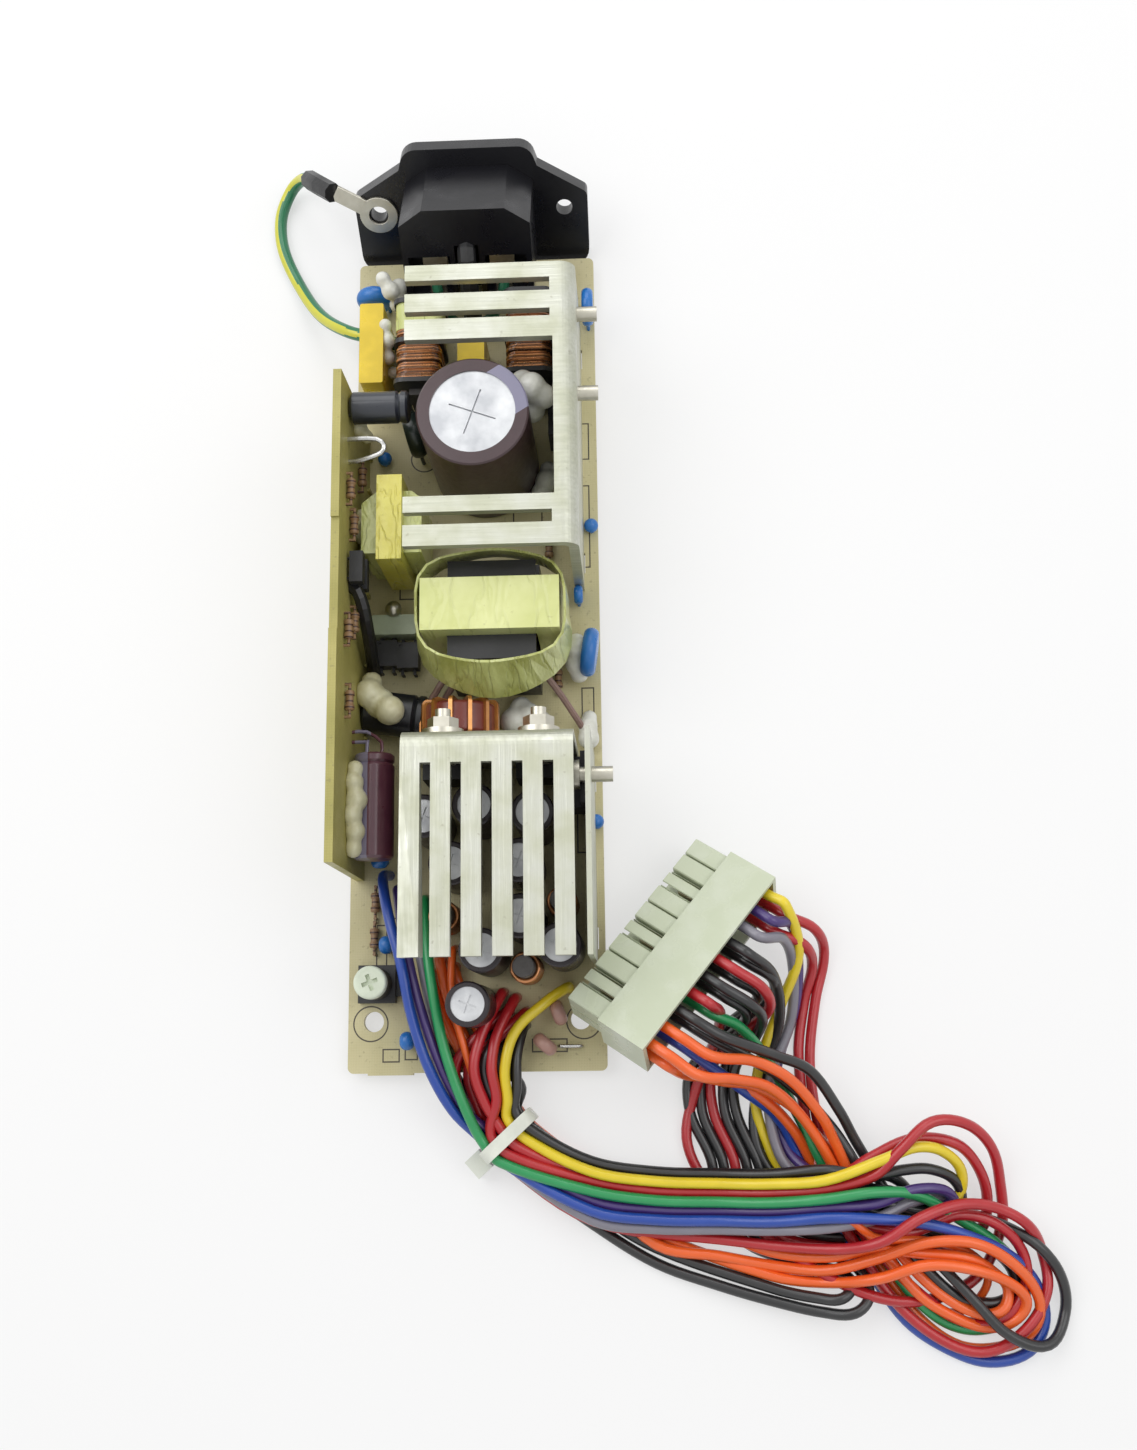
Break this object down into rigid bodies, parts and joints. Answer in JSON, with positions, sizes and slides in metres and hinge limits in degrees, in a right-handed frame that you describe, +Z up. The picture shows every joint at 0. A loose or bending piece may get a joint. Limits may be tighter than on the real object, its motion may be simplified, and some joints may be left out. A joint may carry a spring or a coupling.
{
  "type": "open frame power supply",
  "caption": "Open frame power supply on a long circuit board with folded heatsinks, a tilted mains inlet and a wired output connector.",
  "frame": {"origin": "on the axis of the output end's left mounting hole, at the underside of the main board", "axes": "+X across the board towards the side heatsink, +Y along the board towards the mains inlet, +Z up, away from the board"},
  "size_m": [0.1537, 0.2506, 0.0385],
  "materials": {
    "main_board": "satin",
    "control_board": "satin",
    "primary_heatsink": "plain sheet, satin",
    "secondary_heatsink": "plain sheet, satin",
    "side_heatsink": "plain sheet, satin",
    "power_transistors": "satin",
    "rectifiers": "satin",
    "fasteners": "plated",
    "inlet_housing": "satin",
    "inlet_contacts": "smooth",
    "inlet_leads": "satin",
    "earth_tab_sleeve": "soft, dull",
    "bulk_capacitor": "plain sheet, satin",
    "bulk_capacitor_sleeve": "glossy",
    "choke_cores": "dark ferrite",
    "choke_bobbins": "satin",
    "choke_windings": "smooth",
    "choke_tape": "glossy",
    "film_capacitors": "glossy",
    "blue_capacitors": "glossy",
    "thermistor": "satin",
    "transformer_core": "glossy",
    "transformer_bobbin": "satin",
    "transformer_winding": "smooth",
    "transformer_tape": "glossy",
    "flying_leads": "satin",
    "standby_core": "glossy",
    "standby_winding": "glossy",
    "toroid_core": "dark ferrite",
    "toroid_winding": "smooth",
    "output_capacitors": "plain sheet, satin",
    "output_sleeves": "glossy",
    "rod_choke_cores": "dark ferrite",
    "rod_choke_windings": "smooth",
    "post_screw": "satin",
    "post_body": "satin",
    "control_capacitors": "glossy",
    "black_capacitor": "glossy",
    "optocouplers": "satin",
    "insulating_bar": "satin",
    "resistors": "satin",
    "pink_capacitors": "satin",
    "wire_links": "tinned",
    "adhesive": "soft, dull",
    "solder_joints": "plated",
    "connector_housing": "satin",
    "connector_contacts": "smooth",
    "cable_tie": "satin",
    "earth_lead": "satin",
    "earth_terminal": "tinned",
    "earth_sleeve": "soft, dull",
    "orange_wires": "satin",
    "red_wires": "satin",
    "black_wires": "satin",
    "yellow_wire": "satin",
    "blue_wire": "satin",
    "green_wire": "satin",
    "purple_wire": "satin",
    "grey_wire": "satin"
  },
  "bodies": {
    "root": {"main_board": "main_board", "control_board": "control_board", "primary_heatsink": "primary_heatsink", "secondary_heatsink": "secondary_heatsink", "side_heatsink": "side_heatsink", "power_transistors": "power_transistors", "rectifiers": "rectifiers", "fasteners": "fasteners", "inlet_housing": "inlet_housing", "inlet_contacts": "inlet_contacts", "inlet_leads": "inlet_leads", "earth_tab_sleeve": "earth_tab_sleeve", "bulk_capacitor": "bulk_capacitor", "bulk_capacitor_sleeve": "bulk_capacitor_sleeve", "choke_cores": "choke_cores", "choke_bobbins": "choke_bobbins", "choke_windings": "choke_windings", "choke_tape": "choke_tape", "film_capacitors": "film_capacitors", "blue_capacitors": "blue_capacitors", "thermistor": "thermistor", "transformer_core": "transformer_core", "transformer_bobbin": "transformer_bobbin", "transformer_winding": "transformer_winding", "transformer_tape": "transformer_tape", "flying_leads": "flying_leads", "standby_core": "standby_core", "standby_winding": "standby_winding", "toroid_core": "toroid_core", "toroid_winding": "toroid_winding", "output_capacitors": "output_capacitors", "output_sleeves": "output_sleeves", "rod_choke_cores": "rod_choke_cores", "rod_choke_windings": "rod_choke_windings", "post_screw": "post_screw", "post_body": "post_body", "control_capacitors": "control_capacitors", "black_capacitor": "black_capacitor", "optocouplers": "optocouplers", "insulating_bar": "insulating_bar", "resistors": "resistors", "pink_capacitors": "pink_capacitors", "wire_links": "wire_links", "adhesive": "adhesive", "solder_joints": "solder_joints", "connector_housing": "connector_housing", "connector_contacts": "connector_contacts", "cable_tie": "cable_tie", "earth_lead": "earth_lead", "earth_terminal": "earth_terminal", "earth_sleeve": "earth_sleeve", "orange_wires": "orange_wires", "red_wires": "red_wires", "black_wires": "black_wires", "yellow_wire": "yellow_wire", "blue_wire": "blue_wire", "green_wire": "green_wire", "purple_wire": "purple_wire", "grey_wire": "grey_wire"}
  },
  "joints": []
}
